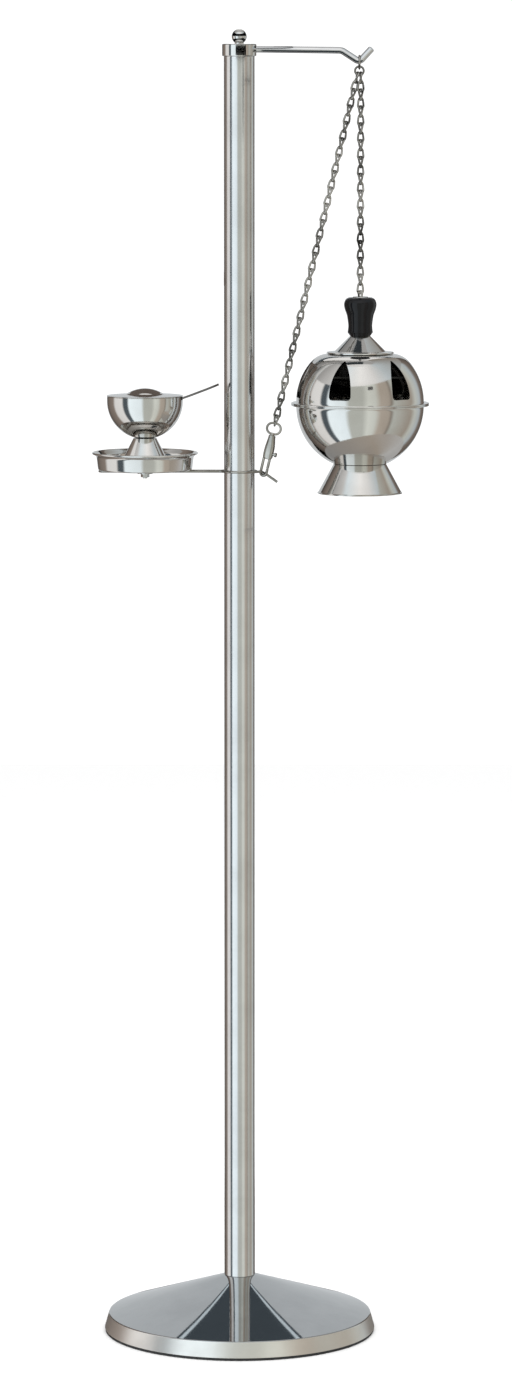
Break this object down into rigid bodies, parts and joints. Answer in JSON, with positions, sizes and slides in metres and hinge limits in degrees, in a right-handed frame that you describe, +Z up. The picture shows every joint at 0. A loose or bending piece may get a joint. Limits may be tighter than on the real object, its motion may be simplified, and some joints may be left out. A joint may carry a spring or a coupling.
{
  "type": "thurible censer on a stand",
  "caption": "Ball censer hanging by a chain from a hooked pole on a round weighted base, with an incense boat and spoon on a wire-held tray and a tie strand clipped to the pole.",
  "frame": {"origin": "on the pole's axis in the plane that the base rests on", "axes": "+Z up along the pole, +X towards the hook and the censer, -X towards the tray, -Y to the front"},
  "size_m": [0.3114, 0.254, 1.2163],
  "materials": {
    "polished_steel": "mirror polished",
    "satin_steel": "satin, brushed along the pole",
    "plain_steel": "plain",
    "chain_steel": "polished wire",
    "black_knob": "gloss black",
    "cast_iron": "rough cast",
    "black_rubber": "matt"
  },
  "bodies": {
    "stand": {"base_shell": "polished_steel", "base_weight": "cast_iron", "base_pad": "black_rubber", "pole": "satin_steel", "pole_foot_plug": "plain_steel", "base_bolt": "plain_steel", "base_washer": "plain_steel", "pole_top_plug": "plain_steel", "top_cap": "polished_steel", "finial": "polished_steel", "hook_arm": "polished_steel", "wire_bracket": "polished_steel", "tray": "polished_steel", "tray_screw": "plain_steel", "tray_washer": "plain_steel", "tray_nut": "plain_steel", "hook_link": "chain_steel", "chain_ring": "chain_steel", "tie_chain": "chain_steel", "snap_eye": "chain_steel", "snap_body": "chain_steel", "snap_spring": "plain_steel"},
    "snap_slider": {"snap_bolt": "chain_steel"},
    "lead": {"lead_links": "chain_steel"},
    "drop": {"drop_chain": "chain_steel", "swivel_pin": "plain_steel"},
    "bowl": {"bail": "plain_steel", "bail_rivets": "plain_steel", "censer_bowl": "polished_steel", "censer_foot": "polished_steel", "foot_screw": "plain_steel", "foot_nut": "plain_steel"},
    "cup": {"fire_cup": "plain_steel"},
    "lid": {"censer_lid": "polished_steel", "lid_cap": "polished_steel", "knob": "black_knob", "lid_bush": "polished_steel", "bush_nut": "plain_steel"},
    "boat": {"boat_bowl": "polished_steel", "boat_foot": "polished_steel", "boat_rivet": "plain_steel"},
    "boat_cover": {"boat_lid": "polished_steel"},
    "spoon": {"spoon": "polished_steel"}
  },
  "joints": [
    {"name": "swing_side", "type": "hinge", "parent": "stand", "child": "lead", "pos_m": [0.1115, 0, 1.17684], "axis": [0, -1, 0], "range_deg": [0, 30]},
    {"name": "swing_front", "type": "hinge", "parent": "lead", "child": "drop", "pos_m": [0.1115, 0, 1.15374], "axis": [1, 0, 0], "range_deg": [-30, 30]},
    {"name": "censer_turn", "type": "hinge", "parent": "drop", "child": "bowl", "pos_m": [0.1115, 0, 0.8962], "axis": [0, 0, 1], "range_deg": [-90, 90]},
    {"name": "lid_lift", "type": "slide", "parent": "bowl", "child": "lid", "axis": [0, 0, 1], "range_m": [0, 0.024]},
    {"name": "cup_lift", "type": "slide", "parent": "bowl", "child": "cup", "axis": [0, 0, 1], "range_m": [0, 0.018]},
    {"name": "snap_slide", "type": "slide", "parent": "stand", "child": "snap_slider", "axis": [0.229, 0, 0.9734], "range_m": [0, 0.0065], "stiffness_N_per_m": 150, "deforming": ["snap_spring"]},
    {"name": "boat_lift", "type": "slide", "parent": "stand", "child": "boat", "axis": [0, 0, 1], "range_m": [0, 0.12]},
    {"name": "boat_lid_lift", "type": "slide", "parent": "boat", "child": "boat_cover", "axis": [0, 0, 1], "range_m": [0, 0.1]},
    {"name": "spoon_slide", "type": "slide", "parent": "boat", "child": "spoon", "axis": [0.9237, -0.1963, 0.3289], "range_m": [0, 0.01]}
  ]
}
